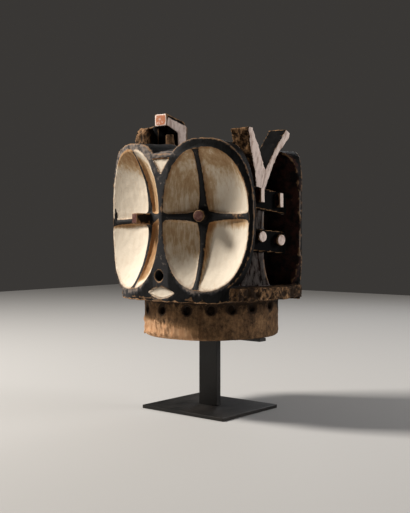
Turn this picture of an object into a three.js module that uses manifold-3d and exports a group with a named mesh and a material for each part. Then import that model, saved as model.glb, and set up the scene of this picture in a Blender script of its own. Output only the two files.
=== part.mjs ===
import * as THREE from "three";
import { mergeVertices } from "three/addons/utils/BufferGeometryUtils.js";
import Module from "manifold-3d";

const wasm = await Module();
wasm.setup();

// Stand, in millimetres above the table
const plateWidth = 200;
const plateDepth = 170;
const plateThick = 6.6;
const postWidth = 44;
const postDepth = 12.4;
const barReach = 124;
const barDepth = 20;
const barThick = 6;
const gap = 0.3;

// The mask's own axis stands a little behind the middle of the plate
const maskBack = 5;

// Heights of the mask above the table
const footZ = 145;
const shelfBottomZ = 215;
const shelfTopZ = 243;
const roofZ = 510;

// Collar with its ring of round holes
const collarRadius = 130;
const collarBore = 115;
const collarHoles = 17;
const holeRadius = 7.6;
const holeZ = 201.3;
const firstHole = 15;
const holeDrift = 4;
const holeLean = 4;
const leanTurn = 40;

// Plan of the head, x to the side and y to the back: each face is one shallow curve
const noseFront = -148;
const noseBack = 146;
const frontEdge = [175, -96];
const backEdge = [165, 70];
const faceSteps = 8;
const edgeThick = 8;
const coreHalf = 95;
const nicheFront = -62;
const nicheBack = 52;

// The head cavity above the collar
const cavityHalfX = 82;
const cavityHalfY = 104;
const cavityMidY = -2;
const cavityTopZ = 480;

// Oval panels, each measured along the chord of its face from the nose
const rightOval = { middle: 88, height: 372, halfWide: 95, halfTall: 140, power: 2.4, deep: 66 };
const leftOval = { middle: 88, height: 370, halfWide: 97, halfTall: 145, power: 2.6, deep: 66 };
const backOval = { middle: 88, height: 364, halfWide: 96, halfTall: 137, power: 4.5, deep: 66 };
const rightDish = {
  middle: 88.6, height: 366, halfWide: 84.3, halfTall: 129.5, power: 2.3, bulge: 15,
  deep: 25, drop: 8, rings: 5, sides: 36, petalSteps: 8, hubX: -13.5, hubY: 5, slope: 0,
};
const leftDish = {
  middle: 92, height: 366.5, halfWide: 87.3, halfTall: 132.5, power: 2.4, bulge: 15,
  deep: 25, drop: 8, rings: 5, sides: 36, petalSteps: 8, hubX: -12.5, hubY: 1, slope: -0.07,
};
const backDish = {
  middle: 87, height: 364, halfWide: 78, halfTall: 120, power: 2.3, bulge: 17,
  deep: 22, drop: 6, rings: 4, sides: 24, petalSteps: 5, hubX: 0, hubY: 3, slope: 0,
};

// Slivers left by the cuts are merged below this size
const meshTolerance = 0.25;

// The petals stop at this share of the way out to the rim
const petalShare = 0.985;

// Ribs of the cross in each dish
const ribHalf = 5;
const hubSpread = 12;
const hubReach = 19;
const tipSpread = 1.5;
const tipReach = 9;

// A closed three.js geometry as a solid that can be joined and cut
function solid(geometry) {
  const bare = geometry.clone();
  bare.deleteAttribute("normal");
  bare.deleteAttribute("uv");
  const merged = mergeVertices(bare, 1e-3);
  const index = merged.index.array;
  const kept = [];
  for (let i = 0; i < index.length; i += 3) {
    const [a, b, c] = [index[i], index[i + 1], index[i + 2]];
    if (a !== b && b !== c && c !== a) kept.push(a, b, c);
  }
  const mesh = new wasm.Mesh({
    numProp: 3,
    vertProperties: merged.attributes.position.array,
    triVerts: new Uint32Array(kept),
  });
  return new wasm.Manifold(mesh);
}

// A finished solid as a named mesh
function meshOf(body, name, material) {
  const raw = body.getMesh();
  const geometry = new THREE.BufferGeometry();
  geometry.setAttribute("position", new THREE.BufferAttribute(raw.vertProperties, 3));
  geometry.setIndex(new THREE.BufferAttribute(raw.triVerts, 1));
  const flat = geometry.toNonIndexed();
  flat.computeVertexNormals();
  const mesh = new THREE.Mesh(flat, material);
  mesh.name = name;
  return mesh;
}

// Each vertex of a geometry moved by a function of its place
function reshaped(geometry, move) {
  const position = geometry.attributes.position;
  const point = new THREE.Vector3();
  for (let i = 0; i < position.count; i += 1) {
    point.fromBufferAttribute(position, i);
    move(point);
    position.setXYZ(i, point.x, point.y, point.z);
  }
  return geometry;
}

// A turned body about the z axis, its profile given from the bottom of the axis to the top
function turned(profile, sides) {
  const points = profile.map(([radius, height]) => new THREE.Vector2(radius, height));
  return new THREE.LatheGeometry(points, sides).rotateX(Math.PI / 2);
}

// A flat outline raised along z from one height to another
function raised(points, from, to, steps = 1) {
  const shape = new THREE.Shape(points.map(([x, y]) => new THREE.Vector2(x, y)));
  const options = { depth: to - from, steps, bevelEnabled: false };
  return new THREE.ExtrudeGeometry(shape, options).translate(0, 0, from);
}

// An outline in y and z raised along x
function raisedAlongX(points, from, to) {
  const turn = new THREE.Matrix4().makeBasis(
    new THREE.Vector3(0, 1, 0),
    new THREE.Vector3(0, 0, 1),
    new THREE.Vector3(1, 0, 0),
  );
  return raised(points, from, to).applyMatrix4(turn);
}

function box(x0, x1, y0, y1, z0, z1) {
  const geometry = new THREE.BoxGeometry(x1 - x0, y1 - y0, z1 - z0);
  return geometry.translate((x0 + x1) / 2, (y0 + y1) / 2, (z0 + z1) / 2);
}

// A half outline with x above zero, closed by its mirror image
function mirroredOutline(half) {
  const other = half.filter(([x]) => x > 1e-6).reverse();
  return [...half, ...other.map(([x, y]) => [-x, y])];
}

// Point of a rounded oval at an angle, on half axes of one unit
function ovalPoint(angle, power) {
  const c = Math.cos(angle);
  const s = Math.sin(angle);
  const x = Math.sign(c) * Math.abs(c) ** (2 / power);
  const y = Math.sign(s) * Math.abs(s) ** (2 / power);
  return [x, y];
}

// Frame of a right hand panel: x along the face, y up, z out of the face
function panelFrame(nose, edge, middle, height) {
  const reach = Math.hypot(edge[0], edge[1] - nose);
  const along = new THREE.Vector3(edge[0] / reach, (edge[1] - nose) / reach, 0);
  const origin = new THREE.Vector3(0, nose, height).addScaledVector(along, middle);
  const sign = nose < 0 ? 1 : -1;
  const across = along.clone().multiplyScalar(sign);
  const up = new THREE.Vector3(0, 0, 1);
  const out = across.clone().cross(up);
  return new THREE.Matrix4().makeBasis(across, up, out).setPosition(origin);
}

function frontFrame(panel) {
  return panelFrame(noseFront, frontEdge, panel.middle, panel.height);
}

function backFrame(panel) {
  return panelFrame(noseBack, backEdge, panel.middle, panel.height);
}

// The oval slab that trims a panel
function ovalSlab(oval, frame) {
  const points = [];
  const sides = 40;
  for (let i = 0; i < sides; i += 1) {
    const [x, y] = ovalPoint((i / sides) * Math.PI * 2, oval.power);
    points.push([x * oval.halfWide, y * oval.halfTall]);
  }
  return solid(raised(points, -oval.deep, 26).applyMatrix4(frame));
}

// Depth of the dish at a share of the way out to its rim
function dishDepth(share, deep) {
  return deep * (1 - share ** 2.2);
}

// A bowl shaped cutter whose oval mouth follows the curve of the face, deeper toward its middle
function bowl(dish, deeper, frame) {
  const profile = [];
  for (let i = 0; i <= dish.rings; i += 1) {
    const share = (i / dish.rings) ** 0.8;
    profile.push([share, -dishDepth(share, dish.deep) - deeper * (1 - share ** 5)]);
  }
  profile.push([1, 40]);
  profile.push([0, 40]);
  const geometry = reshaped(turned(profile, dish.sides), (p) => {
    const radius = Math.hypot(p.x, p.y);
    if (radius < 1e-6) {
      p.x = 0;
      p.y = 0;
      return;
    }
    const [x, y] = ovalPoint(Math.atan2(p.y, p.x), dish.power);
    if (p.z < 39) p.z += dish.bulge * (1 - x * x * radius * radius) * radius ** 2.2;
    p.x = x * radius * dish.halfWide;
    p.y = y * radius * dish.halfTall;
  });
  return solid(geometry.applyMatrix4(frame));
}

// Half the width of a rib at a distance from the hub, spreading at both of its ends
function ribWidth(distance, length) {
  const hub = hubSpread * Math.exp(-distance / hubReach);
  const tip = tipSpread * Math.exp(-(length - distance) / tipReach);
  return ribHalf + hub + tip;
}

// One petal between two ribs, on the side of the hub that the signs give
function petalOutline(dish, signX, signY) {
  const wide = dish.halfWide * petalShare;
  const tall = dish.halfTall * petalShare;
  const reachX = wide - signX * dish.hubX;
  const reachY = tall - signY * dish.hubY;
  const place = (x, y) => {
    const alongX = dish.hubX + signX * x;
    return [alongX, dish.hubY + signY * y + dish.slope * alongX];
  };
  const inside = ([x, y]) => Math.abs(x / wide) ** dish.power + Math.abs(y / tall) ** dish.power < 0.995;
  let corner = 12;
  for (let i = 0; i < 20; i += 1) corner = ribWidth(corner, reachY);
  const steps = dish.petalSteps;
  const points = [];
  for (let i = 0; i <= steps; i += 1) {
    const x = corner + (reachX - corner) * (i / steps) ** 1.4;
    const point = place(x, ribWidth(x, reachX));
    if (inside(point)) points.push(point);
  }
  const arcSteps = dish.sides / 4;
  for (let i = 0; i <= arcSteps; i += 1) {
    const [ovalX, ovalY] = ovalPoint((i / arcSteps) * (Math.PI / 2), dish.power);
    const alongX = signX * ovalX * wide;
    const x = signX * (alongX - dish.hubX);
    const y = signY * (signY * ovalY * tall - dish.hubY - dish.slope * alongX);
    const clear = x > ribWidth(y, reachY) + 0.5 && y > ribWidth(x, reachX) + 0.5;
    if (clear) points.push([alongX, signY * ovalY * tall]);
  }
  for (let i = steps; i > 0; i -= 1) {
    const y = corner + (reachY - corner) * (i / steps) ** 1.4;
    const point = place(ribWidth(y, reachY), y);
    if (inside(point)) points.push(point);
  }
  return signX * signY < 0 ? points.reverse() : points;
}

// The four petals of a dish, sunk below its ribs
function petalCutter(dish, frame) {
  let petals = null;
  for (const [signX, signY] of [[1, 1], [-1, 1], [-1, -1], [1, -1]]) {
    const points = petalOutline(dish, signX, signY);
    const petal = solid(raised(points, -dish.deep - 20, 38).applyMatrix4(frame));
    petals = petals ? petals.add(petal) : petal;
  }
  return petals.intersect(bowl(dish, dish.drop, frame));
}

function dishCutter(dish, frame) {
  return bowl(dish, 0, frame).add(petalCutter(dish, frame));
}

// The peg that stands out of a hub, tipped up a little
function eyePeg(dish, frame, radius, sides, length, tip) {
  const peg = new THREE.CylinderGeometry(radius, radius * 1.12, length, sides);
  peg.rotateY(Math.PI / sides);
  peg.rotateX(Math.PI / 2);
  peg.translate(0, 0, length / 2);
  peg.rotateX(-tip);
  peg.translate(dish.hubX, dish.hubY, -dish.deep - 8);
  return solid(peg.applyMatrix4(frame));
}

// The curve of a face in plan, from its nose out to a share of the way to its edge
function faceCurve(nose, edge, share) {
  const points = [];
  for (let i = 0; i <= faceSteps; i += 1) {
    const x = edge[0] * share * (i / faceSteps);
    points.push([x, nose + (edge[1] - nose) * (x / edge[0]) ** 2]);
  }
  return points;
}

// Plan of the head between the two pairs of panels, cut in at the sides
function headPlan() {
  return mirroredOutline([
    ...faceCurve(noseFront, frontEdge, 1),
    [frontEdge[0], frontEdge[1] + edgeThick],
    [coreHalf, nicheFront],
    [coreHalf, nicheBack],
    [backEdge[0], backEdge[1] - edgeThick],
    ...faceCurve(noseBack, backEdge, 1).reverse(),
  ]);
}

// Plan of the shelf under the panels, its worn sides not quite straight
function shelfPlan() {
  return mirroredOutline([
    ...faceCurve(noseFront, frontEdge, 0.7),
    [145, -100],
    [165, -62],
    [172, -22],
    [172, 16],
    [167, 48],
    ...faceCurve(noseBack, backEdge, 1).reverse(),
  ]);
}

// A low dome that trims the roof and lets it fall toward the noses
function roofDome() {
  const profile = [[0, 180]];
  const rings = 6;
  for (let i = 0; i <= rings; i += 1) {
    const radius = 215 * (1 - i / rings);
    if (i === 0) profile.push([radius, 180]);
    profile.push([radius, roofZ - 0.00108 * radius * radius]);
  }
  return solid(turned(profile, 28));
}

// The head before its dishes: panels, core and roof
function headBlock() {
  const plan = solid(raised(headPlan(), shelfBottomZ + 4, 520));
  const core = solid(box(-coreHalf, coreHalf, -200, 200, 200, 520)).intersect(roofDome());
  const right = ovalSlab(rightOval, frontFrame(rightOval));
  const left = ovalSlab(leftOval, frontFrame(leftOval)).mirror([1, 0, 0]);
  const back = ovalSlab(backOval, backFrame(backOval));
  const slabs = right.add(left).add(back).add(back.mirror([1, 0, 0]));
  const trimmed = plan.intersect(core.add(slabs));
  const shelf = solid(raised(shelfPlan(), shelfBottomZ, shelfTopZ));
  return trimmed.add(shelf);
}

// The ring under the shelf, worn round along its foot
function collarTube() {
  const profile = [
    [0, footZ + 2],
    [collarBore - 3, footZ + 2],
    [collarBore + 4, footZ],
    [collarRadius - 5, footZ],
    [collarRadius - 1, footZ + 3],
    [collarRadius, footZ + 9],
    [collarRadius, shelfBottomZ + 6],
    [0, shelfBottomZ + 6],
  ];
  return solid(turned(profile, 51));
}

function collarHoleCutter() {
  let holes = null;
  for (let i = 0; i < collarHoles; i += 1) {
    const drift = holeDrift * Math.cos((6 * Math.PI * (i - 0.3)) / collarHoles);
    const turn = firstHole + (i * 360) / collarHoles + drift;
    const lift = holeLean * Math.sin(((turn - leanTurn) * Math.PI) / 180);
    const hole = new THREE.CylinderGeometry(holeRadius, holeRadius, 60, 10);
    hole.translate(0, -collarRadius, 0);
    hole.rotateZ((turn * Math.PI) / 180);
    hole.translate(0, 0, holeZ + lift);
    const one = solid(hole);
    holes = holes ? holes.add(one) : one;
  }
  return holes;
}

// Room for the head: round in the collar, narrower and closed by a dome above
function cavity() {
  const shoulder = shelfBottomZ;
  const neck = shelfBottomZ + 21;
  const profile = [
    [0, footZ - 10],
    [collarBore, footZ - 10],
    [collarBore, shoulder],
    [cavityHalfX, neck],
  ];
  const domeFrom = cavityTopZ - 95;
  for (let i = 0; i <= 6; i += 1) {
    const turn = (i / 6) * (Math.PI / 2);
    profile.push([cavityHalfX * Math.cos(turn), domeFrom + 95 * Math.sin(turn)]);
  }
  profile[profile.length - 1][0] = 0;
  const geometry = reshaped(turned(profile, 32), (p) => {
    const share = Math.min(Math.max((p.z - shoulder) / (neck - shoulder), 0), 1);
    p.y = p.y * (1 + share * (cavityHalfY / cavityHalfX - 1)) + cavityMidY * share;
  });
  return solid(geometry);
}

// Wedge shaped column in a side niche, spreading at its foot
function column() {
  const outline = [[coreHalf - 5, -36], [126, 0], [coreHalf - 5, 36]];
  const geometry = raised(outline, shelfTopZ - 2, 420, 9);
  return solid(reshaped(geometry, (p) => {
    const share = Math.max(0, 1 - (p.z - shelfTopZ) / 62) ** 2;
    p.x += share * 0.4 * (p.x - coreHalf + 5);
    p.y *= 1 + share * 0.35;
  }));
}

// A black bar that crosses a niche from panel to panel, lower at the back
function nicheBar(middleZ, tall, drop) {
  const geometry = new THREE.BoxGeometry(44, 142, tall);
  geometry.rotateX(-drop);
  return solid(geometry.translate(coreHalf + 17, -6, middleZ));
}

function squarePeg(y, z) {
  return solid(box(120, 146, y - 6.4, y + 6.4, z - 13, z + 13));
}

function roundPeg(y, z) {
  const peg = new THREE.CylinderGeometry(10.4, 11.4, 28, 12).rotateZ(-Math.PI / 2);
  return solid(peg.scale(1, 1, 1.15).rotateX(Math.PI / 2).translate(133, y, z));
}

// Everything in a side niche: the column, two bars and four pegs
function nicheFigure() {
  return column()
    .add(nicheBar(404, 39, 0.107))
    .add(nicheBar(327, 41, 0.075))
    .add(squarePeg(-30, 411))
    .add(squarePeg(30, 403))
    .add(roundPeg(-30, 335))
    .add(roundPeg(29, 328));
}

// Forked crest over the right niche, leaning outward
function forkedCrest() {
  const outline = [
    [-20, 419], [4, 419], [20, 460], [36, 492], [65.5, 524], [66, 532],
    [53, 538], [26, 501], [0, 458], [-25, 497], [-54, 534], [-66, 532], [-50, 488], [-32, 455],
  ];
  const geometry = reshaped(raisedAlongX(outline, 0, 1), (p) => {
    const rise = (p.z - 427) / 105;
    const inner = 90 + 9 * rise;
    const outer = 126 + 14 * rise;
    p.x = inner + (outer - inner) * p.x;
  });
  return solid(geometry);
}

// Broken arch over the left niche: a base, a post, a bar that bends down, a stub and a stump
function archCrest() {
  const baseOutline = [[-22, 420], [22, 420], [44, 470], [58, 505], [-50, 505], [-40, 470]];
  const base = solid(reshaped(raisedAlongX(baseOutline, 0, 1), (p) => {
    const outer = 126 + (26 * (p.z - 420)) / 85;
    p.x = -(outer - (outer - 90) * p.x);
  }));
  const bend = [[-24, 556], [-17, 556], [11, 545], [13, 498], [39, 498], [41, 555], [29, 569], [-24, 581]];
  const stump = [[-48, 498], [-16, 498], [-19, 556], [-34, 555], [-48, 541]];
  const stub = new THREE.CylinderGeometry(8.5, 12, 43, 9).rotateX(Math.PI / 2 + 0.08);
  return base
    .add(solid(raisedAlongX(bend, -129, -97)))
    .add(solid(box(-138, -122, -21, 6, 498, 557)))
    .add(solid(raisedAlongX(stump, -160, -137)))
    .add(solid(stub.translate(-106, -3, 519)));
}

// Sunk shapes on the front nose: triangle, round hole and leaf shaped mouth
function noseCutter() {
  const flat = new THREE.Matrix4().makeRotationX(Math.PI / 2);
  const triangle = raised([[-20, 478], [0, 449], [20, 478]], 142, 160).applyMatrix4(flat);
  const mouth = [];
  const steps = 8;
  for (let i = 0; i < steps; i += 1) {
    const x = -32 + (64 * i) / steps;
    mouth.push([x, 232 - 10 * (1 - (x / 32) ** 2)]);
  }
  for (let i = 0; i < steps; i += 1) {
    const x = 32 - (64 * i) / steps;
    mouth.push([x, 232 + 10 * (1 - (x / 32) ** 2)]);
  }
  const lips = raised(mouth, 142, 160).applyMatrix4(flat);
  const hole = new THREE.CylinderGeometry(10.5, 10.5, 110, 18).translate(-4, -115, 263);
  return solid(triangle).add(solid(lips)).add(solid(hole));
}

// The whole mask, carved from one piece of wood
function mask() {
  const right = frontFrame(rightDish);
  const left = frontFrame(leftDish);
  const back = backFrame(backDish);
  const backCut = dishCutter(backDish, back);
  const rightCuts = dishCutter(rightDish, right).add(backCut);
  const leftCuts = dishCutter(leftDish, left).add(backCut);
  const rightPegs = eyePeg(rightDish, right, 11, 10, 31, 0.05).add(eyePeg(backDish, back, 11, 10, 34, 0));
  const leftPegs = eyePeg(leftDish, left, 14, 4, 43, 0.03).add(eyePeg(backDish, back, 11, 8, 34, 0));
  const figure = nicheFigure();
  return headBlock()
    .add(collarTube())
    .add(figure)
    .add(figure.mirror([1, 0, 0]))
    .add(forkedCrest())
    .add(archCrest())
    .subtract(rightCuts)
    .subtract(leftCuts.mirror([1, 0, 0]))
    .subtract(cavity())
    .subtract(noseCutter())
    .subtract(collarHoleCutter())
    .add(rightPegs)
    .add(leftPegs.mirror([1, 0, 0]))
    .simplify(meshTolerance);
}

function standPlate() {
  return solid(box(-plateWidth / 2, plateWidth / 2, -plateDepth / 2, plateDepth / 2, 0, plateThick));
}

// The post with the flat arm across its top that carries the collar
function standPost() {
  const top = footZ - gap;
  const post = box(-postWidth / 2, postWidth / 2, -postDepth / 2, postDepth / 2, plateThick + gap, top);
  const arm = box(-barReach, barReach, maskBack - barDepth / 2, maskBack + barDepth / 2, top - barThick, top);
  return solid(post).add(solid(arm));
}

const wood = new THREE.MeshStandardMaterial({ color: 0x4a3424, roughness: 0.75 });
const steel = new THREE.MeshStandardMaterial({ color: 0x2a2724, roughness: 0.5, metalness: 0.6 });

const group = new THREE.Group();
group.name = "bembe_helmet_mask";
group.add(meshOf(mask().translate([0, maskBack, 0]), "mask", wood));
group.add(meshOf(standPlate(), "stand_base_plate", steel));
group.add(meshOf(standPost(), "stand_post", steel));

export default group;
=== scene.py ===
import math
from types import SimpleNamespace
import bmesh
import bpy
import numpy as np
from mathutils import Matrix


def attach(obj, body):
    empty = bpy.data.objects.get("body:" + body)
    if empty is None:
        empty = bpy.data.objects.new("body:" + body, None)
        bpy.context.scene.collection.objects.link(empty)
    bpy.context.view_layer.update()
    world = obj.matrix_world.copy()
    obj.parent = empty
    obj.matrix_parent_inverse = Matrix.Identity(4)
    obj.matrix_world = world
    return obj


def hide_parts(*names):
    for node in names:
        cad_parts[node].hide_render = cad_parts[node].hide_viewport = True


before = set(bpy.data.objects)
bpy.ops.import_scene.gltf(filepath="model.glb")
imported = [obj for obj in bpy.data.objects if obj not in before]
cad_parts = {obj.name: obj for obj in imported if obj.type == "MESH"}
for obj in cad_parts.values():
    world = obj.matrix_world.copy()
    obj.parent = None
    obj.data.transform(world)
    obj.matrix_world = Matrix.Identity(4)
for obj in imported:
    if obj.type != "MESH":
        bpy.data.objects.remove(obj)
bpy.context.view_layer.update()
print("frame loaded")

# the mask is worked out in millimetres, with y from its own axis, which lies "back" behind the origin
maskForm = {
    "back": 5.0, "voxel": 2.0, "faces": 196000, "collarRadius": 130.0, "collarTop": 214.0,
    "noseFront": -148.0, "noseBack": 146.0, "frontEdge": (175.0, -96.0), "backEdge": (165.0, 70.0),
}
axisShift = np.array([0.0, maskForm["back"], 0.0])
# the four sunk ovals: places along the chord of their face, then the bowl, its ribs and its peg
rearPanel = {
    "front": False, "middle": 87, "height": 364, "halfWide": 78, "halfTall": 120, "power": 2.3,
    "bulge": 17, "deep": 22, "drop": 6, "hub": (0, 3), "slope": 0.0, "pegRadius": 12,
}
panels = {
    "right": {"side": 1, "front": True, "middle": 88.6, "height": 366, "halfWide": 84.3, "halfTall": 129.5,
              "power": 2.3, "bulge": 15, "deep": 25, "drop": 8, "hub": (-13.5, 5), "slope": 0.0,
              "pegRadius": 11.5},
    "left": {"side": -1, "front": True, "middle": 92, "height": 366.5, "halfWide": 87.3, "halfTall": 132.5,
             "power": 2.4, "bulge": 15, "deep": 25, "drop": 8, "hub": (-12.5, 1), "slope": -0.07,
             "pegRadius": 14.5},
    "backRight": {**rearPanel, "side": 1},
    "backLeft": {**rearPanel, "side": -1},
}
# the outer arris of the right panel, where a thin pale line is painted: a painted highlight where the edge
# catches the light, partly worn paint
rightArris = {**panels["right"], "middle": 88, "height": 372, "halfWide": 95, "halfTall": 140, "power": 2.4}
ribs = {"half": 5.0, "hubSpread": 12.0, "hubReach": 19.0, "tipSpread": 1.5, "tipReach": 9.0,
        "petalShare": 0.992, "bowlPower": 2.2, "soft": 3.0}
noseForm = {"triangleTop": 478.0, "triangleFoot": 449.0, "triangleHalf": 20.0, "triangleLean": 0.82,
            "mouthZ": 232.0, "mouthHalf": 32.0, "mouthTall": 10.0}
holeRing = {"count": 17, "first": 15, "drift": 4, "driftShift": 0.3, "lean": 4, "leanTurn": 40, "z": 201.3}
# cell size in millimetres, depth and seed of every kind of lump and blade mark
marks = {
    "waver": (26.0, 0.8, 8), "fineWaver": (9.0, 0.35, 9),
    "petalCuts": ((14.0, 14.0, 18.0), 0.8, 10), "bowlSwell": (40.0, 0.7, 11),
    "bodySwell": (34.0, 0.5, 12), "bodyCuts": ((15.0, 15.0, 24.0), 0.7, 23),
    "collarCuts": ((10.0, 10.0, 14.0), 1.0, 13), "collarSwell": ((60.0, 60.0, 12.0), 0.6, 14),
    "chiselTop": (20.0, 5.0, 24), "chiselCuts": ((7.5, 400.0, 22.0), 5.0, 25),
    "shelfPits": ((7.0, 7.0, 11.0), 1.0, 15), "shelfCuts": ((9.0, 9.0, 26.0), 2.0, 16),
    "shelfWear": (15.0, 2.4, 26), "shelfChips": ((13.0, 13.0, 60.0), 1.0, 21),
    "paintChips": ((11.0, 11.0, 9.0), 1.0, 22), "nicheCuts": ((26.0, 30.0, 15.0), 1.5, 17),
    "forkCuts": ((13.0, 13.0, 22.0), 2.2, 18), "forkGrain": (5.0, 0.6, 19),
    "stumpCuts": ((10.0, 10.0, 16.0), 3.2, 20),
}


# from 0 to 1, level at both ends
def ease(value):
    t = np.clip(value, 0.0, 1.0)
    return t * t * (3.0 - 2.0 * t)


def smoothStep(low, high, value):
    return ease((value - low) / (high - low))


def between(values, low, high):
    return (values > low) & (values < high)


# smooth noise up to the mark's depth either way: random values on a lattice, eased between neighbours
def lumps(points, mark):
    cell, depth, seed = marks[mark]
    cells = points / np.asarray(cell, float)
    base = np.floor(cells).astype(int)
    part = cells - base
    part = part * part * (3.0 - 2.0 * part)
    size = 61
    table = np.random.default_rng(seed).uniform(-1.0, 1.0, (size, size, size))
    total = np.zeros(len(points))
    for corner in np.ndindex(2, 2, 2):
        step = np.array(corner[::-1])
        weight = np.prod(np.where(step, part, 1.0 - part), axis=1)
        i, j, k = ((base + step) % size).T
        total += weight * table[i, j, k]
    return total * depth


# scoops left by a blade: squared distance to the nearest of one random point per cell, low in the middle
def scoops(points, mark):
    cell, depth, seed = marks[mark]
    cells = points / np.asarray(cell, float)
    base = np.floor(cells).astype(int)
    size = 53
    offsets = np.random.default_rng(seed).uniform(0.15, 0.85, (size, size, size, 3))
    nearest = np.full(len(points), 9.0)
    for corner in np.ndindex(3, 3, 3):
        near = base + np.array(corner) - 1
        a, b, c = (near % size).T
        gap = cells - near - offsets[a, b, c]
        nearest = np.minimum(nearest, np.einsum("ij,ij->i", gap, gap))
    return (np.clip(nearest, 0.0, 1.0) * 1.5 - 0.4) * depth


# place of points in a panel's own frame: along the face, up, and out of the face
def panelPlace(points, panel):
    nose = maskForm["noseFront"] if panel["front"] else maskForm["noseBack"]
    edge = maskForm["frontEdge"] if panel["front"] else maskForm["backEdge"]
    reach = math.hypot(edge[0], edge[1] - nose)
    along = np.array([edge[0] / reach, (edge[1] - nose) / reach, 0.0])
    across = along if panel["front"] else -along
    out = np.array([across[1], -across[0], 0.0])
    origin = np.array([0.0, nose, panel["height"]]) + along * panel["middle"]
    mirror = np.array([panel["side"], 1.0, 1.0])
    local = points * mirror - origin
    return local @ across, local[:, 2], local @ out, out * mirror


# share of the way out to the rim: the rounded oval's own radius
def ovalShare(a, b, panel):
    x = np.abs(a) / panel["halfWide"]
    y = np.abs(b) / panel["halfTall"]
    return (x ** panel["power"] + y ** panel["power"]) ** (1.0 / panel["power"])


# level of the ribs: a bowl whose rim follows the curved face
def ribLevel(a, share, panel):
    curve = 1.0 - (a / panel["halfWide"]) ** 2
    bowl = share ** ribs["bowlPower"]
    return -panel["deep"] * (1.0 - bowl) + panel["bulge"] * curve * bowl


# half the width of a rib, which spreads at the hub and a little at its tip
def ribWidth(distance, length):
    hub = ribs["hubSpread"] * np.exp(-np.clip(distance, 0, None) / ribs["hubReach"])
    tip = ribs["tipSpread"] * np.exp(-np.clip(length - distance, 0, None) / ribs["tipReach"])
    return ribs["half"] + hub + tip


# distance in from the edge of the nearest petal, negative on ribs and rim
def petalDistance(a, b, share, panel):
    x = a - panel["hub"][0]
    y = b - panel["hub"][1] - panel["slope"] * a
    reachX = panel["halfWide"] * ribs["petalShare"] - np.sign(x) * panel["hub"][0]
    reachY = panel["halfTall"] * ribs["petalShare"] - np.sign(y) * panel["hub"][1]
    x = np.abs(x)
    y = np.abs(y)
    n = panel["power"]
    slopeX = np.abs(a) ** (n - 1) / panel["halfWide"] ** n
    slopeY = np.abs(b) ** (n - 1) / panel["halfTall"] ** n
    slope = np.hypot(slopeX, slopeY) * np.clip(share, 0.2, None) ** (1 - n)
    toRim = (ribs["petalShare"] - share) / np.clip(slope, 0.004, None)
    toRibs = np.minimum(x - ribWidth(y, reachY), y - ribWidth(x, reachX))
    soft = ribs["soft"]
    total = np.exp(-np.clip(toRim, -60, 60) / soft) + np.exp(-np.clip(toRibs, -60, 60) / soft)
    return -soft * np.log(total)


# millimetres inside the nose's triangle and inside its leaf shaped mouth
def noseMarks(x, z):
    form = noseForm
    rise = form["triangleTop"] - form["triangleFoot"]
    flank = (z - form["triangleFoot"]) * form["triangleHalf"] / rise - np.abs(x)
    triangle = np.minimum(form["triangleTop"] - z, flank * form["triangleLean"])
    mouth = form["mouthTall"] * (1.0 - (x / form["mouthHalf"]) ** 2) - np.abs(z - form["mouthZ"])
    return triangle, mouth


# millimetres from the nearest of the collar's holes: their ring drifts by a cosine, leans by a sine
def holeDistance(x, y, z):
    nearest = np.full(len(x), 99.0)
    count = holeRing["count"]
    for step in range(count):
        drift = holeRing["drift"] * math.cos(6 * math.pi * (step - holeRing["driftShift"]) / count)
        angle = holeRing["first"] + step * 360 / count + drift
        turn = np.arctan2(y, x) - math.radians(angle - 90)
        turn = (turn + math.pi) % (2 * math.pi) - math.pi
        lift = holeRing["lean"] * math.sin(math.radians(angle - holeRing["leanTurn"]))
        nearest = np.minimum(nearest, np.hypot(turn * maskForm["collarRadius"], z - holeRing["z"] - lift))
    return nearest


def neighbourMean(points, edges):
    count = np.bincount(edges.ravel(), minlength=len(points))[:, None]
    total = np.zeros_like(points)
    for axis in range(3):
        total[:, axis] = np.bincount(edges[:, 0], points[edges[:, 1], axis], len(points))
        total[:, axis] += np.bincount(edges[:, 1], points[edges[:, 0], axis], len(points))
    return total / np.maximum(count, 1)


# smoothing in pairs of steps, one in and a slightly larger one out, so that the form doesn't shrink
def relax(points, edges, rounds, amount):
    for step in range(rounds):
        points = points + amount * (neighbourMean(points, edges) - points)
        points = points - amount * 1.04 * (neighbourMean(points, edges) - points)
    return points


# vertices in the mask's millimetres, edges and normals
def readMesh(mesh):
    points = np.empty(len(mesh.vertices) * 3)
    mesh.vertices.foreach_get("co", points)
    edges = np.empty(len(mesh.edges) * 2, dtype=np.int64)
    mesh.edges.foreach_get("vertices", edges)
    normals = np.empty(len(mesh.vertices) * 3)
    mesh.vertex_normals.foreach_get("vector", normals)
    return points.reshape(-1, 3) * 1000.0 - axisShift, edges.reshape(-1, 2), normals.reshape(-1, 3)


def writeMesh(mesh, points):
    mesh.vertices.foreach_set("co", ((points + axisShift) / 1000.0).ravel())
    mesh.update()


def addObject(name, data):
    item = bpy.data.objects.new(name, data)
    bpy.context.scene.collection.objects.link(item)
    return item


# a copy of a CAD node with its doubled vertices merged and, on request, its flat faces made whole
def mergedCopy(nodeName, pieceName, wholeFaces=False):
    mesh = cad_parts[nodeName].data.copy()
    shape = bmesh.new()
    shape.from_mesh(mesh)
    bmesh.ops.remove_doubles(shape, verts=shape.verts, dist=1e-6)
    if wholeFaces:
        bmesh.ops.dissolve_limit(shape, angle_limit=math.radians(2), verts=shape.verts, edges=shape.edges)
    shape.to_mesh(mesh)
    shape.free()
    mesh.materials.clear()
    return addObject(pieceName, mesh)


def applyModifiers(piece):
    graph = bpy.context.evaluated_depsgraph_get()
    mesh = bpy.data.meshes.new_from_object(piece.evaluated_get(graph))
    old = piece.data
    piece.modifiers.clear()
    piece.data = mesh
    bpy.data.meshes.remove(old)


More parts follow.
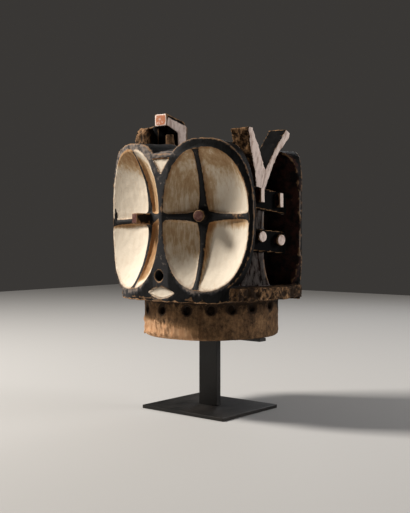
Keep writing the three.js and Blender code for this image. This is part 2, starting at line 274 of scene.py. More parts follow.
# the faces of the bowls, laid on their smooth forms
def shapeDishes(points):
    for name, panel in panels.items():
        a, b, c, out = panelPlace(points, panel)
        share = ovalShare(a, b, panel)
        level = ribLevel(a, share, panel)
        petal = petalDistance(a, b, share, panel)
        offPeg = np.hypot(a - panel["hub"][0], b - panel["hub"][1]) >= panel["pegRadius"] + 2.5
        highest = level + 4.0 + 8.0 * (share > 0.9)
        inDish = (share < 1.005) & between(c, level - panel["drop"] - 6.0, highest) & offPeg
        sunk = panel["drop"] * (1.0 - np.clip(share, 0, 1) ** 5)
        waver = lumps(points, "waver") + lumps(points, "fineWaver")
        height = level - sunk * smoothStep(-1.0, 3.4, petal + waver)
        onRibs = (petal < 2) * (1.0 - smoothStep(0.9, 1.0, share))
        height += 1.7 * (smoothStep(0.5, 6.5, -petal) - 0.6) * onRibs
        height += scoops(points, "petalCuts") * smoothStep(2.0, 8.0, petal)
        height += lumps(points, "bowlSwell")
        move = np.where(inDish, (height - c) * (1.0 - smoothStep(0.985, 1.005, share)), 0.0)
        points = points + move[:, None] * out
        print("dish", name, int(inDish.sum()), "vertices")
    return points


# worn, broken and adzed surfaces, pushed along their normals; x, y and z follow every move of points
def roughen(points, normals):
    points = points.copy()
    x, y, z = points.T
    # the shelf is worn thinner from below along its sides
    outside = smoothStep(112, 136, np.abs(x)) * (np.hypot(x, y) > 132.5) * (y < 80)
    lift = outside * (5.0 + lumps(points * np.array([1, 1, 0]), "shelfWear"))
    points[:, 2] += np.where(between(z, 213, 238), lift * (238 - z) / 23, 0.0)
    radius = np.hypot(x, y)
    sideways = np.abs(normals[:, 2]) < 0.6
    facesFront = normals[:, 1] < -0.5
    collar = (z < maskForm["collarTop"]) & (radius > 120)
    shelfSide = between(z, 217, 246) & (np.abs(x) > 122) & (radius > 150) & (y < 72)
    nicheWall = (np.abs(x) > 92) & between(y, 30, 66) & (z > 244) & facesFront
    forkFront = (x > 88) & (z > 440) & facesFront & between(y, -72, -10)
    stump = (x < -134) & (z > 500) & (y < -8)
    # the left panel's top lies lower, and the painted triangle and mouth lie shallow
    lowTop = smoothStep(496, 512, z) * smoothStep(25, 60, -x) * smoothStep(60, 85, -y)
    points[:, 2] -= 3.6 * lowTop * (y < -60)
    shallow = between(y, -145.5, -118) & (np.abs(x) < 31) & (normals[:, 1] < -0.6)
    triangle, mouth = noseMarks(x, z)
    points[:, 1] -= 2.8 * shallow * np.maximum(smoothStep(0.0, 1.5, triangle), smoothStep(0.0, 1.5, mouth))
    # the whole body
    push = lumps(points, "bodySwell")
    inDish = np.zeros(len(points), bool)
    for panel in panels.values():
        a, b, c, _ = panelPlace(points, panel)
        inDish |= (ovalShare(a, b, panel) < 1.0) & (np.abs(c + 8) < 36)
    push += ~inDish * ~collar * scoops(points, "bodyCuts")
    # the collar, with upright chisel cuts on its lower left
    lowLeft = ease((200 - z) / 50) * ease((40 - x) / 90)
    push += collar * sideways * (scoops(points, "collarCuts") * (0.9 + 1.3 * lowLeft))
    push += collar * lumps(points, "collarSwell")
    arc = np.arctan2(y, x) * maskForm["collarRadius"]
    unrolled = np.column_stack([arc + 0.25 * (z - 160), np.full_like(z, 25), z])
    chiselled = ease((182 - z + lumps(points, "chiselTop")) / 9) * ease((35 - x) / 60)
    push += collar * sideways * chiselled * (scoops(unrolled, "chiselCuts") - 0.8)
    # the shelf's raw edge, the niches' rear walls, the fork and the broken stump
    pits = np.clip(lumps(points, "shelfPits") - 0.1, 0, 1)
    push += shelfSide * sideways * (scoops(points, "shelfCuts") - pits * 5.0)
    lowEdge = between(z, 212, 219) & (radius > 134)
    push -= lowEdge * np.clip(lumps(points, "shelfChips") - 0.1, 0, 1) * 4.0
    push += nicheWall * scoops(points, "nicheCuts")
    push += forkFront * (scoops(points, "forkCuts") + lumps(points, "forkGrain"))
    push += stump * (scoops(points, "stumpCuts") - 1.0)
    return points + push[:, None] * normals


def makeMask():
    mask = mergedCopy("mask", "mask_carving")
    remesh = mask.modifiers.new("remesh", "REMESH")
    remesh.mode = "VOXEL"
    remesh.voxel_size = maskForm["voxel"] / 1000.0
    remesh.use_smooth_shade = True
    applyModifiers(mask)
    points, edges, _ = readMesh(mask.data)
    print("remeshed", len(points), "vertices")
    points = shapeDishes(relax(points, edges, 3, 0.55))
    writeMesh(mask.data, relax(points, edges, 1, 0.3))
    points, _, normals = readMesh(mask.data)
    writeMesh(mask.data, roughen(points, normals))
    thin = mask.modifiers.new("thin", "DECIMATE")
    thin.ratio = maskForm["faces"] / (len(mask.data.polygons) * 2)
    applyModifiers(mask)
    print("mask has", len(mask.data.loops) - 2 * len(mask.data.polygons), "triangles")
    return mask


unpainted = -30.0  # the distance that a paint's zone has where there is none of it


# where every vertex is, which way it faces, and the parts of the mask that it lies on
def readPlaces(mesh):
    points, edges, normals = readMesh(mesh)
    x, y, z = points.T
    nx, ny, _ = normals.T
    side = np.abs(x)
    radius = np.hypot(x, y)
    bore = (radius < 118) & (z < 216) & (x * nx + y * ny < 0)
    dome = ((x / 86) ** 2 + ((y + 2) / 108) ** 2 < 1) & between(z, 200, 484)
    forkBack = np.where(z < 500, 48, 74)
    onStub = (np.hypot(x + 106, y + 3) < 13.5) & between(z, 499, 546.5)
    upperBar = 21.0 - np.abs(z - (404 - 0.107 * (y + 6)))
    lowerBar = 22.0 - np.abs(z - (327 - 0.075 * (y + 6)))
    return SimpleNamespace(
        points=points, edges=edges, normals=normals, x=x, y=y, z=z, nx=nx, ny=ny, side=side, radius=radius,
        inCavity=bore | dome,
        onCollar=(z < 216) & (radius > 118),
        onShelfSide=between(z, 209, 248) & (radius > 138) & between(y, -112, 76) & (side > 112),
        onFork=(z > 424) & between(x, 86, 130 + 14 * (z - 427) / 105) & between(y, -74, forkBack),
        onStump=(x < -136.5) & (z > 503) & between(y, -60, -6),
        onStub=onStub,
        onArch=between(x, -131, -90) & between(y, -28, 46) & (z > 500) & ~onStub,
        inBars=np.maximum(upperBar, lowerBar))


def put(zones, name, where, value):
    zones[name] = np.where(where, value, zones[name])


def putAtLeast(zones, name, where, value):
    zones[name] = np.where(where, np.maximum(zones[name], value), zones[name])


# the left oval: ochre on the nose side, darker towards the top, and a painted shadow of the cross rib just
# under it
def stainLeft(b, share, across, below):
    toEdge = (1.0 - share) * panels["left"]["halfWide"]
    toNose = np.clip(-across / 70.0, 0, 1)
    low = 0.25 * smoothStep(-10, 40, below) * (1 - 0.6 * smoothStep(70, 120, below))
    noseSide = 1.02 - 0.62 * toNose ** 1.5 + low
    noseSide = noseSide * (1.0 - 0.75 * smoothStep(-14, -2, -toEdge))
    onPetals = np.where(across < 0, noseSide, smoothStep(45, 118, b - 0.25 * across))
    # a band of painted shadow under the cross rib
    underRib = np.where((across > 0) & (below > 0), 0.9 * (1 - smoothStep(8, 17, below)), 0.0)
    return np.maximum(onPetals, underRib)


# the right oval: painted shade over the petals on the nose side, which the nose shades, and over the upper
# outer petal by the upright rib; darker towards the top, by the rim, and along both ribs below
def stainRight(b, share, across, below):
    byRib = 1.1 * (1 - smoothStep(8, 30, across + 0.12 * below)) + 0.75 * (1 - smoothStep(10, 34, below))
    byRim = 0.9 * smoothStep(0.86, 0.99, share) * smoothStep(40, 80, b)
    top = np.maximum(0.9 * smoothStep(50, 118, b + 0.25 * across), byRim)
    # painted shade over the upper petals: the one on the nose side, and the outer one next to the upright rib
    top = np.maximum(top, np.where(across > 0, 0.75 * (1 - smoothStep(14, 40, across)), 0.66))
    # below: painted shade over the nose side's petal, fading towards its bottom where it is lit; darker along
    # both ribs on the outer petal
    low = np.where(across > 0, byRib, 0.66 * (1 - smoothStep(45, 110, below)))
    return np.where(below > 0, low, top)


def paintDish(zones, at, name, panel):
    a, b, c, out = panelPlace(at.points, panel)
    share = ovalShare(a, b, panel)
    level = ribLevel(a, share, panel)
    petal = petalDistance(a, b, share, panel)
    facing = at.normals @ out
    across = a - panel["hub"][0]
    below = panel["hub"][1] + panel["slope"] * a - b
    fromPeg = np.hypot(across, b - panel["hub"][1]) - panel["pegRadius"]
    near = (share < 1.03) & between(c, level - panel["drop"] - 15, level + 18) & (facing > -0.6)
    if name == "left":
        # the white runs further out at the top and at the outer edge
        offRib = np.abs(b - panel["hub"][1] - panel["slope"] * a)
        reachOut = smoothStep(50, 75, a) * smoothStep(6, 11, offRib)
        petal = petal + (3.0 * smoothStep(80, 125, b) + 2.6 * reachOut) * (petal > -6)
        stain = stainLeft(b, share, across, below)
    elif name == "right":
        stain = stainRight(b, share, across, below)
    else:
        stain = 0.45 + 0.3 * smoothStep(40, 110, np.abs(b))
    putAtLeast(zones, "white", near & (fromPeg > 1), petal)
    putAtLeast(zones, "stain", near, stain)
    put(zones, "peg", (fromPeg < 5) & (facing > 0.75) & (c > -panel["deep"] + 8), 6.0)
    onRib = near & (petal < -2.0) & (share < 0.97) & (fromPeg > 8)
    putAtLeast(zones, "rubbed", onRib, 0.2)
    put(zones, "quiet", onRib, 0.5)
    if name == "left":
        onRim = between(share, 1.0, 1.2) & (facing > 0.3) & (c > -14)
        putAtLeast(zones, "rubbed", onRim, 0.68 * smoothStep(50, 125, b))
    if panel["front"]:
        foot = between(share, 0.98, 1.03) & (facing > 0.2) & (c > -14) & (b < 0)
        putAtLeast(zones, "rubbed", foot, 0.75 * smoothStep(100, 125, -b))


# pale lines along the right panel's outer arris and the rear panel's edge: painted highlights where these
# edges catch the light, partly worn paint; the worn grey-white top by the nose, a painted sheen down the nose
# ridge, and the rubbed lower left
def paintWear(zones, at):
    a, b, _, out = panelPlace(at.points, rightArris)
    # a painted highlight along the right panel's outer arris, partly worn paint
    onArris = between(ovalShare(a, b, rightArris), 0.965, 1.01) & (a > 20) & (b > -60)
    put(zones, "rubbed", onArris & between(at.normals @ out, 0.35, 0.9), 1.0)
    # a painted highlight along the rear panel's edge
    rearEdge = (at.side > 163.5) & (at.y > 56) & between(at.z, 262, 440) & (at.ny < -0.2)
    put(zones, "rubbed", rearEdge, 0.95)
    noseTop = (at.y < -108) & (at.z > 480) & (at.ny < -0.25)
    putAtLeast(zones, "rubbed", noseTop, 0.7 * (1 - smoothStep(45, 80, np.abs(at.x + 20))))
    # a painted sheen down the nose ridge
    putAtLeast(zones, "rubbed", (at.y < -128) & (at.side < 18), 0.26)
    putAtLeast(zones, "rubbed", (at.y < -90) & (at.z < 242), 0.5 * ease((-at.x - 60) / 60))


def paintNose(zones, at):
    front = (at.y < -118) & (at.ny < -0.2)
    triangle, mouth = noseMarks(at.x, at.z)
    putAtLeast(zones, "white", front & (at.z > 440), triangle)
    putAtLeast(zones, "white", front & (at.z < 250), mouth)
    topLine = 1.3 * (1 - smoothStep(0.0, 3.0, noseForm["triangleTop"] - at.z))
    put(zones, "stain", front & (triangle > -2) & (at.side < 22), topLine)


# wood that was never painted, or whose paint is gone
def paintBare(zones, at):
    chips = np.clip(lumps(at.points, "paintChips") - 0.05, 0, 1)
    put(zones, "bare", at.z < 236, 216.5 + chips * np.where(at.y < -70, 6.5, 14.0) - at.z)
    onSide = np.minimum(np.minimum((at.side - 122) * 0.8, 244.0 - at.z), 9.0)
    put(zones, "bare", at.onShelfSide, onSide)
    put(zones, "bare", at.inCavity, 12.0)
    put(zones, "bare", at.onFork & (at.ny < -0.45) & (at.y < -14), 6.0)
    put(zones, "bare", at.onStump | at.onStub, 6.0)


# pinkish white on the fork, the arch and the ends of the niches' pegs, and the arch's pink end
def paintPale(zones, at):
    put(zones, "pale", at.onFork & (at.nx > 0.55) & (at.x > 100), 6.0)
    archFace = np.minimum(573 - 0.24 * (at.y + 18) - at.z, 36.5 - at.y)
    archFace = np.minimum(archFace, at.y + 21.5) * 1.5
    put(zones, "pale", at.onArch & (at.nx > 0.6) & (at.x > -101), archFace)
    archEnd = at.onArch & (at.ny < -0.6) & (at.y < -20) & (at.z > 550)
    offX = np.maximum(np.abs(at.x + 113) - 10.0, 0)
    offZ = np.maximum(np.abs(at.z - 568.5) - 6.5, 0)
    inEnd = 6.0 - np.hypot(offX, offZ)
    put(zones, "pale", archEnd, inEnd * 2.0)
    put(zones, "pink", archEnd, (inEnd - 2.8) * 1.5)
    pegEnd = (at.side > 140) & (np.sign(at.x) * at.nx > 0.6) & between(at.z, 300, 430) & (np.abs(at.y) < 50)
    put(zones, "pale", pegEnd, 6.0)


# grey columns and red brown walls in the niches, and the blackest parts
def paintNiches(zones, at):
    halfWide = np.clip((126 - at.side) / 31 * 36, 0, 60) + 8 * ease((305 - at.z) / 60)
    column = between(at.side, 88, 142) & (np.abs(at.y) < halfWide + 7) & between(at.z, 243, 424)
    put(zones, "grey", column, np.minimum(-at.inBars, 12.0))
    inside = (at.side > 90) & between(at.y, -70, 68) & between(at.z, 243, 500)
    put(zones, "niche", inside & ~at.onFork, 10.0)
    onBars = (at.inBars > -1) & (at.side > 92)
    put(zones, "niche", onBars & (at.ny > -0.8), unpainted)
    onBars = onBars & between(at.z, 243, 430) & between(at.y, -58, 46)
    put(zones, "rubbed", at.onFork | at.onArch | onBars, -0.6)


# soot and dirt on the bare wood, with painted light and shade on the collar: darker to the right, partly soot
# and partly painted shade where it turns from the light; a band of painted shadow under the shelf, partly
# dark wood; a painted pool of light on the lower left; painted shade in the holes' bores and soot round them;
# darker on the breaks and darkest inside the cavity
def paintSoot(zones, at):
    hole = holeDistance(at.x, at.y, at.z)
    # a painted pool of light on the collar's lower left, where the shelf's shadow ends
    lit = ease((181 - at.z - 0.10 * (at.x + 20)) / 12) * ease((78 - at.x) / 40)
    # painted shade to the right and a painted shadow under the shelf, both partly dark wood; the pool of
    # light takes the dark away
    soot = 0.62 + 0.16 * smoothStep(-40, 110, at.x) + 0.15 * smoothStep(190, 213, at.z) - 0.75 * lit
    # painted shade in the holes' bores
    soot = soot + 1.2 * (at.radius < 129) * (1 - smoothStep(7.9, 9.4, hole))
    # soot in a ring round each hole
    soot = soot + 0.7 * (1 - smoothStep(7.6, 12.5, hole))
    put(zones, "soot", at.onCollar, soot)
    put(zones, "soot", at.onShelfSide, 0.88)
    put(zones, "soot", at.onFork, 0.76 + 0.45 * (1 - smoothStep(462, 474, at.z)))
    put(zones, "soot", at.onStump, 0.66)
    put(zones, "soot", at.onStub, 0.75)
    put(zones, "soot", at.inCavity, 1.4)
    put(zones, "mottle", at.onCollar, 0.5)
    put(zones, "mottle", at.inCavity, 0.3)
    put(zones, "mottle", at.onShelfSide | at.onFork, 1.35)


def writeLayer(mesh, name, values, limit):
    layer = mesh.attributes.new(name, "FLOAT", "POINT")
    layer.data.foreach_set("value", np.clip(values, -limit, limit).astype(np.float32))


# paints as signed distances in millimetres, positive inside, then shares of stain with painted shade, of wear
# with painted highlights and sheen, and of soot and dirt with painted light and shade
def paintZones(mask):
    at = readPlaces(mask.data)
    count = len(at.x)
    kinds = ("white", "pink", "peg", "pale", "bare", "grey", "niche")
    zones = {kind: np.full(count, unpainted) for kind in kinds}
    zones.update(stain=np.zeros(count), rubbed=np.zeros(count), quiet=np.zeros(count))
    zones.update(soot=np.full(count, 0.35), mottle=np.ones(count))
    for name, panel in panels.items():
        paintDish(zones, at, name, panel)
    for paintPart in (paintWear, paintNose, paintBare, paintPale, paintNiches, paintSoot):
        paintPart(zones, at)
    quiet = zones.pop("quiet")
    for name, values in zones.items():
        writeLayer(mask.data, name, values, -unpainted)
    # worn edges: how far each vertex stands out from its neighbours
    smooth = at.points
    for step in range(4):
        smooth = neighbourMean(smooth, at.edges)
    standing = np.einsum("ij,ij->i", at.points - smooth, at.normals) - quiet
    writeLayer(mask.data, "edge", standing, 2.0)
    print("zones painted, edges stand out up to", round(float(np.percentile(standing, 98)), 2), "mm")


# short names for the shader nodes that the materials use
class NodeMaker:
    def __init__(self, tree):
        self.tree = tree
        self.place = self.add("TexCoord").outputs["Object"]

    def plug(self, socket, value):
        if hasattr(value, "is_output"):
            self.tree.links.new(value, socket)
        elif socket.type == "RGBA":
            socket.default_value = (*value, 1.0)
        else:
            socket.default_value = value

    def add(self, kind, settings=None, **inputs):
        item = self.tree.nodes.new("ShaderNode" + kind)
        for key, value in (settings or {}).items():
            setattr(item, key, value)
        for key, value in inputs.items():
            self.plug(item.inputs[key.replace("_", " ")], value)
        return item

    def calculate(self, operation, a, b=0.0, clamp=False):
        item = self.add("Math", {"operation": operation, "use_clamp": clamp})
        self.plug(item.inputs[0], a)
        self.plug(item.inputs[1], b)
        return item.outputs[0]

    def plus(self, a, b):
        return self.calculate("ADD", a, b)

    def minus(self, a, b):
        return self.calculate("SUBTRACT", a, b)

    def times(self, a, b):
        return self.calculate("MULTIPLY", a, b)

    def greater(self, a, b):
        return self.calculate("MAXIMUM", a, b)

    def mapRange(self, value, low, high, toLow=0.0, toHigh=1.0):
        item = self.add("MapRange")
        for socket, given in zip(item.inputs, (value, low, high, toLow, toHigh)):
            self.plug(socket, given)
        return item.outputs[0]

    def mix(self, factor, a, b):
        item = self.add("Mix", {"data_type": "RGBA"})
        for index, value in ((0, factor), (6, a), (7, b)):
            self.plug(item.inputs[index], value)
        return item.outputs[2]

    def noise(self, scale, detail=3.0, roughness=0.55, vector=None):
        where = self.place if vector is None else vector
        item = self.add("TexNoise", None, Vector=where, Scale=scale, Detail=detail, Roughness=roughness)
        return item.outputs[0]

    # noise about its own middle, stretched to a height
    def swing(self, noise, height):
        return self.times(self.minus(noise, 0.5), height)

    # noise drawn out along z
    def streaks(self, across, along, scale=1.0, detail=5.0, roughness=0.7):
        drawn = self.add("Mapping", None, Vector=self.place, Scale=(across, across, along))
        return self.noise(scale, detail, roughness, drawn.outputs[0])

    def zone(self, name):
        return self.add("Attribute", {"attribute_name": name}).outputs["Fac"]

    def zoneMask(self, name, waver, scale, softness, wear=0.0):
        item = self.add("Group", {"node_tree": groups["edge"]}, Distance=self.zone(name), Waver=waver,
                        Scale=scale, Softness=softness, Wear=wear)
        return item.outputs[0]


def newGroup(name, inputs, outputs):
    tree = bpy.data.node_groups.new(name, "ShaderNodeTree")
    for label, value in inputs.items():
        kind = "NodeSocketColor" if value is None else "NodeSocketFloat"
        socket = tree.interface.new_socket(label, in_out="INPUT", socket_type=kind)
        if value is not None:
            socket.default_value = value
    for label, kind in outputs.items():
        tree.interface.new_socket(label, in_out="OUTPUT", socket_type=kind)
    given = tree.nodes.new("NodeGroupInput").outputs
    return NodeMaker(tree), given, tree.nodes.new("NodeGroupOutput").inputs


# a painted zone with a hand made edge: distance, wavered by noise, then cut off softly
def paintEdgeGroup():
    inputs = {"Distance": 0.0, "Waver": 1.0, "Scale": 90.0, "Softness": 0.5, "Wear": 0.0}
    make, given, result = newGroup("painted edge", inputs, {"Mask": "NodeSocketFloat"})
    shift = make.swing(make.noise(given["Scale"], 4.0), given["Waver"])
    wavered = make.minus(make.plus(given["Distance"], shift), given["Wear"])
    scaled = make.calculate("DIVIDE", wavered, given["Softness"])
    make.plug(result["Mask"], make.calculate("ADD", scaled, 0.5, clamp=True))
    return make.tree


# grain that runs up the wood: noise stretched along z, with finer pores
def woodGrainGroup():
    inputs = {"Light": None, "Dark": None, "Scale": 1.0}
    outputs = {"Colour": "NodeSocketColor", "Height": "NodeSocketFloat"}
    make, given, result = newGroup("wood grain", inputs, outputs)
    drawn = make.add("Mapping", None, Vector=make.place, Scale=(90.0, 90.0, 11.0)).outputs[0]
    sized = make.add("VectorMath", {"operation": "SCALE"}, Scale=given["Scale"])
    make.plug(sized.inputs[0], drawn)
    streak = make.noise(1.6, 5.0, 0.65, sized.outputs[0])
    pores = make.noise(7.0, 2.0, 0.6, sized.outputs[0])
    patch = make.noise(16.0, 4.0, 0.6)
    blend = make.mapRange(make.plus(make.times(streak, 0.6), make.times(patch, 0.4)), 0.36, 0.64)
    colour = make.mix(blend, given["Dark"], given["Light"])
    offPores = make.mapRange(pores, 0.30, 0.42, 0.55, 1.0)
    make.plug(result["Colour"], make.mix(offPores, (0.05, 0.03, 0.02), colour))
    make.plug(result["Height"], make.plus(make.times(streak, 0.5), make.times(pores, 0.5)))
    return make.tree


# worn edges: where the surface stands out, broken up by noise
def edgeWearGroup():
    inputs = {"Edge": 0.0, "Low": 0.3, "High": 0.7, "Scale": 120.0}
    make, given, result = newGroup("edge wear", inputs, {"Mask": "NodeSocketFloat"})
    broken = make.plus(given["Edge"], make.swing(make.noise(given["Scale"], 5.0, 0.65), 1.5))
    make.plug(result["Mask"], make.mapRange(broken, given["Low"], given["High"]))
    return make.tree


groups = {"edge": paintEdgeGroup(), "grain": woodGrainGroup(), "wear": edgeWearGroup()}
# the white's shade and stain tones also paint shade on the white; the grey and the chalky pale on the black
# also paint its sheen and highlights; the fresh wood tone also paints the collar's pool of light, and the
# sooty dark its painted shade
paint = {
    "black": (0.0035, 0.0035, 0.0038), "rubbedBlack": (0.017, 0.0165, 0.017),
    "greyBlack": (0.042, 0.041, 0.044), "rubbedWhite": (0.33, 0.27, 0.23),
    "white": (0.79, 0.70, 0.575), "whiteShade": (0.55, 0.39, 0.23), "whiteStain": (0.26, 0.120, 0.042),
    "dirt": (0.10, 0.055, 0.028), "pale": (0.86, 0.72, 0.65), "paleStain": (0.33, 0.20, 0.15),
    "pink": (0.50, 0.20, 0.11), "peg": (0.085, 0.033, 0.028),
    "niche": (0.040, 0.014, 0.010), "grey": (0.30, 0.265, 0.25),
    "woodLight": (0.46, 0.27, 0.135), "woodDark": (0.19, 0.095, 0.042), "edgeWood": (0.25, 0.15, 0.08),
    "freshAndLitWood": (0.82, 0.50, 0.29), "cutWood": (0.40, 0.17, 0.07), "soot": (0.030, 0.018, 0.011),
}
paintSheen = 0.13  # specular level of the painted and bare wood
# a joint line up the stem of the fork's pale face, in metres: each pair is where it fades in or out
forkSeam = {"foot": 0.425, "y": 0.0015, "lean": 0.10, "width": (0.0005, 0.0018), "x": (0.10, 0.11),
            "start": (0.424, 0.428), "end": (0.458, 0.466)}


# matt black pigment rubbed grey and brown, chalky or down to the wood where it is worn most; its greys and
# chalky pale also paint the sheen on the nose ridge and the highlights along lit edges
def blackPaint(make, darkWood):
    worn = make.zone("rubbed")
    patches = make.mapRange(make.noise(34.0, 6.0, 0.68), 0.50, 0.72)
    scratches = make.mapRange(make.streaks(420.0, 60.0, detail=3.0), 0.52, 0.72)
    rubbed = make.calculate("ADD", make.times(patches, 0.55), make.times(scratches, 0.35), clamp=True)
    rubbed = make.times(rubbed, make.mapRange(worn, -0.5, 0.0))
    colour = make.mix(rubbed, paint["black"], paint["rubbedBlack"])
    # grey: rubbed paint, and the painted sheen down the nose ridge
    colour = make.mix(make.mapRange(worn, 0.0, 0.4, 0.0, 0.8), colour, paint["greyBlack"])
    chalkyAndHighlit = make.plus(worn, make.swing(make.noise(110.0, 6.0, 0.72), 2.4))
    # chalky pale: worn paint, and the painted highlights along the lit edges
    colour = make.mix(make.mapRange(chalkyAndHighlit, 0.45, 0.95, 0.0, 0.75), colour, paint["rubbedWhite"])
    return make.mix(make.mapRange(chalkyAndHighlit, 0.85, 1.15, 0.0, 0.85), colour, darkWood)


# niche walls dark red brown under thin black, and grey columns worn through in upright streaks
def nichePaint(make, colour):
    patches = make.mapRange(make.noise(48.0, 5.0, 0.7), 0.42, 0.60)
    tone = make.mix(patches, paint["black"], paint["niche"])
    colour = make.mix(make.zoneMask("niche", 8.0, 60.0, 4.0), colour, tone)
    through = make.times(make.mapRange(make.streaks(150.0, 22.0, 1.3), 0.40, 0.56), 0.85)
    return make.mix(make.times(make.zoneMask("grey", 4.0, 120.0, 1.2), through), colour, paint["grey"])


# bare wood of the collar, shelf and breaks: dark with soot in its hollows, fresh on its crests and cuts; the
# dark share also carries painted shade, and on the collar's lower left a painted pool of light in fresh wood
# colour
def bareWood(make, wood, edge):
    soot = make.zone("soot")
    mottle = make.zone("mottle")
    clouds = make.plus(make.noise(40.0, 6.0, 0.7), make.times(make.noise(150.0, 5.0, 0.7), 0.9))
    clouds = make.times(make.times(make.minus(clouds, 0.95), 2.2), mottle)
    hollows = make.times(make.mapRange(edge, -0.75, -0.12, 0.75, 0.0), mottle)
    sooty = make.mapRange(make.plus(make.plus(soot, clouds), hollows), 0.25, 1.05)
    crests = make.mapRange(make.minus(edge, soot), 0.0, 0.45, 0.0, 0.6)
    # the fresh wood colour also paints the pool of light on the collar's lower left
    freshAndLit = make.greater(crests, make.mapRange(soot, -0.12, 0.15, 0.6, 0.0))
    colour = make.mix(freshAndLit, wood.outputs["Colour"], paint["freshAndLitWood"])
    cuts = make.mapRange(make.streaks(210.0, 38.0, detail=3.0, roughness=0.6), 0.42, 0.56, 0.75, 0.0)
    colour = make.mix(make.times(cuts, freshAndLit), colour, paint["cutWood"])
    return make.mix(sooty, colour, paint["soot"])


# kaolin white, ochre where it is stained and brown where shade is painted on it, with brush streaks and
# chips, and browner along its edges
def whitePaint(make):
    ragged = make.swing(make.streaks(170.0, 26.0, roughness=0.68), 1.15)
    ragged = make.plus(ragged, make.minus(make.noise(21.0, 5.0, 0.62), 0.5))
    stained = make.plus(make.zone("stain"), ragged)
    colour = make.mix(make.mapRange(ragged, 0.0, 0.6, 0.0, 0.55), paint["white"], paint["whiteShade"])
    # stains and painted shade both brown the white here
    colour = make.mix(make.mapRange(stained, 0.30, 0.75), colour, paint["whiteShade"])
    colour = make.mix(make.mapRange(stained, 0.62, 1.15, 0.0, 0.85), colour, paint["whiteStain"])
    border = make.plus(make.zone("white"), make.swing(make.noise(75.0, 6.0, 0.72), 14.0))
    border = make.times(make.mapRange(border, -0.5, 4.5, 1.0, 0.0), 0.55)
    colour = make.mix(border, colour, paint["whiteStain"])
    chips = make.mapRange(make.noise(240.0, 5.0, 0.7), 0.64, 0.70, 0.0, 0.8)
    chips = make.times(chips, make.mapRange(stained, 0.2, 1.0, 0.15, 1.0))
    return make.mix(chips, colour, paint["dirt"])


def seamMask(make, paleMask):
    x, y, z = make.add("SeparateXYZ", None, Vector=make.place).outputs
    rise = make.times(make.minus(z, forkSeam["foot"]), forkSeam["lean"])
    offLine = make.calculate("ABSOLUTE", make.minus(y, make.plus(rise, forkSeam["y"])))
    seam = make.mapRange(offLine, *forkSeam["width"], 0.75, 0.0)
    seam = make.times(seam, make.mapRange(z, *forkSeam["end"], 1.0, 0.0))
    seam = make.times(make.times(seam, make.mapRange(x, *forkSeam["x"])), paleMask)
    return make.times(seam, make.mapRange(z, *forkSeam["start"]))


# pinkish white faces with the fork's seam, then the rubbed pink end of the arch and the pegs' ends
def palePaint(make, colour, paleMask):
    worn = make.mapRange(make.streaks(150.0, 40.0, roughness=0.72), 0.48, 0.72)
    colour = make.mix(paleMask, colour, make.mix(worn, paint["pale"], paint["paleStain"]))
    colour = make.mix(seamMask(make, paleMask), colour, paint["paleStain"])
    worn = make.mapRange(make.noise(170.0, 4.0, 0.6), 0.50, 0.72)
    pink = make.mix(worn, paint["pink"], paint["pale"])
    colour = make.mix(make.zoneMask("pink", 4.0, 160.0, 2.0), colour, pink)
    worn = make.mapRange(make.noise(150.0, 4.0, 0.6), 0.48, 0.70, 0.0, 0.38)
    peg = make.mix(worn, paint["peg"], paint["paleStain"])
    return make.mix(make.zoneMask("peg", 4.0, 160.0, 2.0), colour, peg)


def newMaterial(name):
    material = bpy.data.materials.new(name)
    material.use_nodes = True
    material.node_tree.nodes.clear()
    return material, NodeMaker(material.node_tree)


def maskMaterial():
    material, make = newMaterial("painted carved wood")
    edge = make.zone("edge")
    wood = make.add("Group", {"node_tree": groups["grain"]}, Light=paint["woodLight"], Dark=paint["woodDark"])
    darkWood = make.mix(0.45, wood.outputs["Colour"], paint["edgeWood"])
    bareMask = make.zoneMask("bare", 5.0, 110.0, 1.0)
    whiteMask = make.zoneMask("white", 2.6, 150.0, 0.7, -0.6)
    paleMask = make.zoneMask("pale", 5.0, 120.0, 2.0, 0.5)
    colour = nichePaint(make, blackPaint(make, darkWood))
    worn = make.add("Group", {"node_tree": groups["wear"]}, Edge=edge, Low=0.62, High=0.95, Scale=150.0)
    colour = make.mix(make.times(worn.outputs[0], 0.8), colour, darkWood)
    colour = make.mix(bareMask, colour, bareWood(make, wood, edge))
    colour = make.mix(whiteMask, colour, whitePaint(make))
    colour = palePaint(make, colour, paleMask)
    # finish: a dull sheen, rougher on the pale paints and bare wood, and almost none on the blackest parts
    light = make.greater(make.greater(whiteMask, paleMask), bareMask)
    rough = make.plus(make.mapRange(light, 0.0, 1.0, 0.58, 0.80), make.times(make.noise(90.0), 0.14))
    sheen = make.mapRange(make.zone("rubbed"), -0.5, 0.0, 0.02, paintSheen)
    fine = make.times(make.noise(900.0, 3.0, 0.6), 0.22)
    height = make.plus(fine, make.times(make.noise(210.0, 4.0, 0.6), 0.75))
    height = make.plus(height, make.times(make.times(wood.outputs["Height"], bareMask), 1.3))
    height = make.plus(height, make.times(whiteMask, 0.25))
    bump = make.add("Bump", None, Strength=0.55, Distance=0.0011, Height=height).outputs[0]
    shader = make.add("BsdfPrincipled", None, Base_Color=colour, Roughness=rough, Normal=bump,
                      Specular_IOR_Level=paintSheen)  # the export keeps the socket's own value
    make.plug(shader.inputs["Specular IOR Level"], sheen)
    make.add("OutputMaterial", None, Surface=shader.outputs[0])
    return material


steelLook = {"dark": (0.0095, 0.009, 0.0085), "brown": (0.020, 0.0165, 0.014), "edge": (0.05, 0.04, 0.034),
             "metallic": 0.35, "bevel": 0.7}


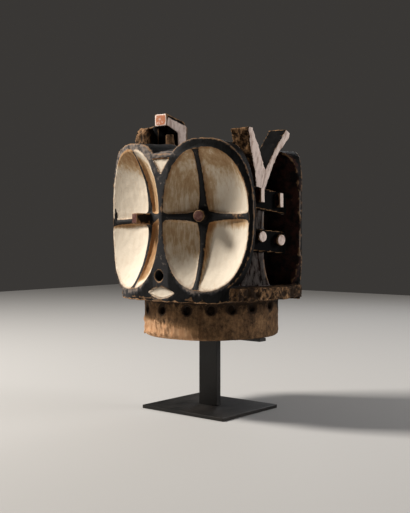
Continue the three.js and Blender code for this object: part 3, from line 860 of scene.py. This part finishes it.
def steelMaterial():
    material, make = newMaterial("blackened steel")
    cloud = make.mapRange(make.noise(14.0, 6.0, 0.65), 0.38, 0.66)
    speck = make.mapRange(make.noise(320.0, 4.0, 0.7), 0.60, 0.74)
    colour = make.mix(cloud, steelLook["dark"], steelLook["brown"])
    colour = make.mix(make.times(speck, 0.35), colour, steelLook["edge"])
    rough = make.plus(make.mapRange(cloud, 0.0, 1.0, 0.36, 0.52), make.times(speck, 0.10))
    drawn = make.streaks(900.0, 30.0, detail=2.0, roughness=0.55)
    height = make.plus(drawn, make.times(make.noise(500.0), 0.8))
    bump = make.add("Bump", None, Strength=0.22, Distance=0.0004, Height=height).outputs[0]
    shader = make.add("BsdfPrincipled", None, Base_Color=colour, Metallic=steelLook["metallic"],
                      Roughness=rough, Normal=bump)
    make.add("OutputMaterial", None, Surface=shader.outputs[0])
    return material


# a stand node with its sharp corners eased
def makeStandPiece(nodeName, pieceName, material):
    piece = mergedCopy(nodeName, pieceName, wholeFaces=True)
    bevel = piece.modifiers.new("eased corners", "BEVEL")
    bevel.width = steelLook["bevel"] / 1000.0
    bevel.segments = 2
    bevel.limit_method = "ANGLE"
    applyModifiers(piece)
    piece.data.materials.append(material)
    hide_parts(nodeName)
    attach(piece, "root")


mask = makeMask()
paintZones(mask)
mask.data.materials.clear()
mask.data.materials.append(maskMaterial())
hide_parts("mask")
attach(mask, "root")
print("mask done")

steel = steelMaterial()
makeStandPiece("stand_base_plate", "base_plate", steel)
makeStandPiece("stand_post", "post_and_arm", steel)
print("stand done")

studio = {
    "floor": 3.0, "floorTone": (0.46, 0.455, 0.45), "floorRough": 0.8,
    "world": 0.048, "worldTone": (0.86, 0.80, 0.74), "aim": (0.0, 0.0, 0.33),
    "camera": (1.1145, -1.3572, 0.347), "azimuth": 39.7, "lens": 63.16, "sensor": 36.0, "shiftY": -0.0517,
}
# name: place, size, power and colour
lamps = {
    "key": ((-1.80, -1.22, 2.38), 0.65, 150.0, (1.0, 0.95, 0.88)),
    "side": ((1.9, 1.35, 1.0), 0.8, 26.0, (1.0, 0.97, 0.95)),
    "rim": ((-0.6, 2.2, 1.6), 1.2, 12.0, (0.95, 0.97, 1.0)),
}


def makeFloor():
    half = studio["floor"]
    mesh = bpy.data.meshes.new("floor")
    corners = [(-half, -half, 0), (half, -half, 0), (half, half, 0), (-half, half, 0)]
    mesh.from_pydata(corners, [], [(0, 1, 2, 3)])
    material = bpy.data.materials.new("pale floor")
    material.use_nodes = True
    shader = material.node_tree.nodes["Principled BSDF"]
    shader.inputs["Base Color"].default_value = (*studio["floorTone"], 1)
    shader.inputs["Roughness"].default_value = studio["floorRough"]
    mesh.materials.append(material)
    floor = addObject("floor", mesh)


def makeWorld():
    world = bpy.data.worlds.new("studio")
    world.use_nodes = True
    background = world.node_tree.nodes["Background"]
    background.inputs["Color"].default_value = (*studio["worldTone"], 1)
    background.inputs["Strength"].default_value = studio["world"]
    bpy.context.scene.world = world
    bpy.context.scene.view_settings.view_transform = "Standard"


def makeLamp(name, place, size, power, colour):
    lamp = bpy.data.lights.new(name, "AREA")
    lamp.size = size
    lamp.energy = power
    lamp.color = colour
    item = addObject(name, lamp)
    aim = np.array(studio["aim"]) - np.array(place)
    item.location = place
    item.rotation_euler = (math.atan2(math.hypot(aim[0], aim[1]), -aim[2]), 0, math.atan2(-aim[0], aim[1]))


def makeCamera():
    view = bpy.data.cameras.new("camera")
    view.lens = studio["lens"]
    view.sensor_width = studio["sensor"]
    view.shift_y = studio["shiftY"]
    camera = addObject("camera", view)
    camera.location = studio["camera"]
    camera.rotation_euler = (math.pi / 2, 0, math.radians(studio["azimuth"]))
    bpy.context.scene.camera = camera


makeFloor()
makeWorld()
for name, (place, size, power, colour) in lamps.items():
    makeLamp(name, place, size, power, colour)
makeCamera()
print("studio done")

bpy.context.view_layer.update()
